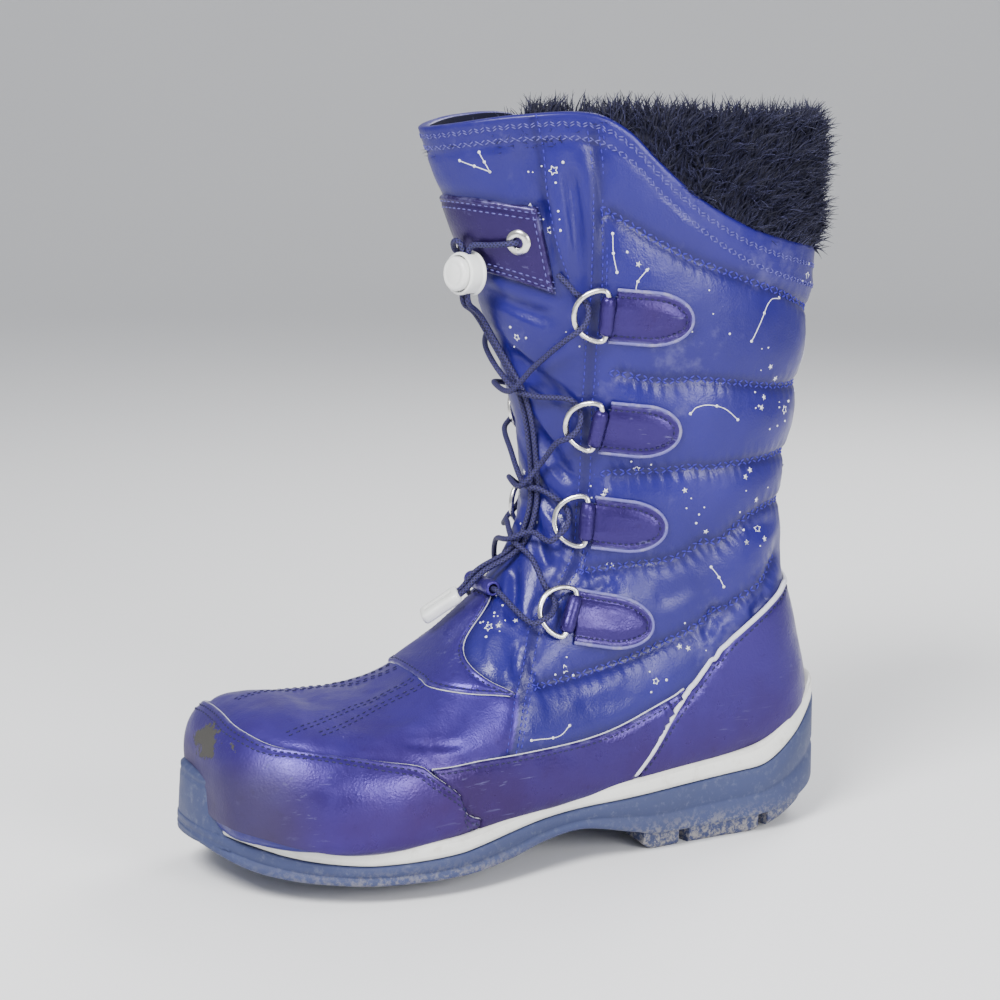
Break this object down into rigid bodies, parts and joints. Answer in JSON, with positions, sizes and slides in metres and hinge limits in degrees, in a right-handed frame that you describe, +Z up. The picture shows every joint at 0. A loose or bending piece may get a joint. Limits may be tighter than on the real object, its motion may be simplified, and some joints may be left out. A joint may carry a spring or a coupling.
{
  "type": "snow boot",
  "caption": "Child's left winter boot with a quilted padded shaft, deep plush collar, cleated sole, ring lacing, a spring cord lock and a cord end.",
  "frame": {"origin": "on the floor, under the middle of the sole", "axes": "+Z up, toe towards -Y, outer (lateral) side of the left foot towards +X"},
  "size_m": [0.1044, 0.265, 0.2914],
  "materials": {
    "outsole": "matt slate-blue rubber",
    "midsole": "glossy off-white strip",
    "upper": "satin quilted royal-blue leatherette",
    "insole": "felt",
    "fur_cuff": "deep navy plush",
    "overlay": "pearly plum-violet leatherette",
    "patch": "dark plum leatherette",
    "tab": "pearly blue-violet leatherette",
    "metal": "polished",
    "cord": "round braided cord",
    "white_plastic": "gloss"
  },
  "bodies": {
    "boot": {"outsole": "outsole", "midsole": "midsole", "upper": "upper", "insole": "insole", "fur_cuff": "fur_cuff", "toe_cap": "overlay", "heel_counter": "overlay", "side_band_lateral": "overlay", "side_band_medial": "overlay", "tongue_guard": "overlay", "lace_patch": "patch", "eyelet_near": "metal", "eyelet_far": "metal", "d_ring_lateral_1": "metal", "ring_tab_lateral_1": "tab", "d_ring_medial_1": "metal", "ring_tab_medial_1": "tab", "d_ring_lateral_2": "metal", "ring_tab_lateral_2": "tab", "d_ring_medial_2": "metal", "ring_tab_medial_2": "tab", "d_ring_lateral_3": "metal", "ring_tab_lateral_3": "tab", "d_ring_medial_3": "metal", "ring_tab_medial_3": "tab", "d_ring_lateral_4": "metal", "ring_tab_lateral_4": "tab", "d_ring_medial_4": "metal", "ring_tab_medial_4": "tab", "lace": "cord", "cord_lateral": "cord", "cord_medial": "cord", "cord_lock_body": "white_plastic", "cord_end": "white_plastic"},
    "lock_button": {"cord_lock_button": "white_plastic"}
  },
  "joints": [
    {"name": "lock_button_press", "type": "slide", "parent": "boot", "child": "lock_button", "axis": [-0.2918, 0.956, -0.0302], "range_m": [0, 0.002], "stiffness_N_per_m": 1200, "springref_m": -0.002}
  ]
}
